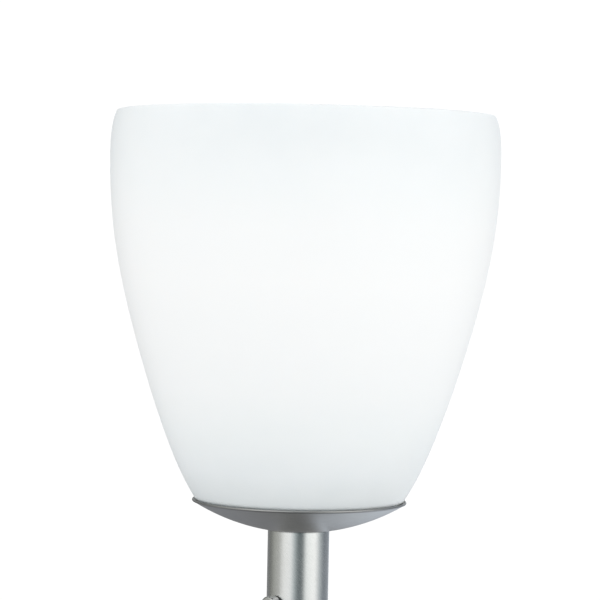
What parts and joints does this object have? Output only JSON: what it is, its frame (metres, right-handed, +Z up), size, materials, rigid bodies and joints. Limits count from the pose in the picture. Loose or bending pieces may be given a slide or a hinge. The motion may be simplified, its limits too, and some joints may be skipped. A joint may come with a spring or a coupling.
{
  "type": "torchiere floor lamp",
  "caption": "Torchiere floor lamp: round weighted foot, slim sectional pole, wide neck tube with a turn switch, thin metal saucer and an open opal glass cup shade.",
  "frame": {"origin": "centre of the foot's underside, on the floor", "axes": "+Z up along the pole, -Y towards the viewer; the switch knob points front left and the cord inlet rear right"},
  "size_m": [0.2794, 0.2794, 1.827],
  "materials": {
    "brushed_nickel": "fine brushed, satin clear coat",
    "zinc_steel": "bright zinc plate",
    "cast_iron": "rough, black painted",
    "black_rubber": "matt",
    "clear_silicone": "satin, translucent",
    "opal_glass": "satin opal",
    "black_phenolic": "moulded phenolic",
    "socket_metal": "bright plated",
    "brass": "plain",
    "white_ceramic": "unglazed",
    "solder": "dull",
    "black_glass": "gloss",
    "bulb_white": "satin moulded",
    "bulb_diffuser": "frosted",
    "circuit_board": "solder resist",
    "aluminium_board": "white solder resist",
    "led_phosphor": "phosphor",
    "wire_black": "satin",
    "wire_white": "satin"
  },
  "bodies": {
    "frame": {"base_pad": "black_rubber", "base_weight": "cast_iron", "base_cover": "brushed_nickel", "base_nipple": "zinc_steel", "base_washer": "zinc_steel", "base_nut": "zinc_steel", "cord_gland": "black_rubber", "terminal_block": "white_ceramic", "foot_collar": "brushed_nickel", "pole_lower": "brushed_nickel", "pole_middle": "brushed_nickel", "pole_upper": "brushed_nickel", "pole_insert_1": "zinc_steel", "pole_insert_2": "zinc_steel", "pole_insert_3": "zinc_steel", "pole_insert_4": "zinc_steel", "pole_insert_5": "zinc_steel", "pole_insert_6": "zinc_steel", "pole_nipple_1": "zinc_steel", "pole_nipple_2": "zinc_steel", "pole_ring_1": "brushed_nickel", "pole_ring_2": "brushed_nickel", "neck_base": "brushed_nickel", "neck_nipple": "zinc_steel", "neck_nut": "zinc_steel", "neck_tube": "brushed_nickel", "saucer": "brushed_nickel", "socket_ring": "black_phenolic", "shade_gasket": "clear_silicone", "socket_cap": "socket_metal", "socket_body": "black_phenolic", "screw_shell": "brass", "center_contact": "brass", "socket_insulator": "white_ceramic", "terminal_screws": "zinc_steel", "switch_body": "black_phenolic", "switch_bush": "brass", "wire_live": "wire_black", "wire_neutral": "wire_white"},
    "knob": {"switch_knob": "brushed_nickel", "switch_shaft": "brass", "switch_rotor": "black_phenolic"},
    "shade": {"glass_shade": "opal_glass"},
    "bulb": {"bulb_tip": "solder", "bulb_insulator": "black_glass", "bulb_cap": "socket_metal", "bulb_housing": "bulb_white", "bulb_driver": "circuit_board", "bulb_board": "aluminium_board", "bulb_chips": "led_phosphor", "bulb_dome": "bulb_diffuser"}
  },
  "joints": [
    {"name": "knob_turn", "type": "hinge", "parent": "frame", "child": "knob", "pos_m": [0, 0, 1.5348], "axis": [-0.7071, -0.7071, 0], "continuous": true},
    {"name": "shade_lift", "type": "slide", "parent": "frame", "child": "shade", "axis": [0, 0, 1], "range_m": [0, 0.12]},
    {"name": "bulb_lift", "type": "slide", "parent": "frame", "child": "bulb", "axis": [0, 0, 1], "range_m": [0, 0.28]}
  ]
}
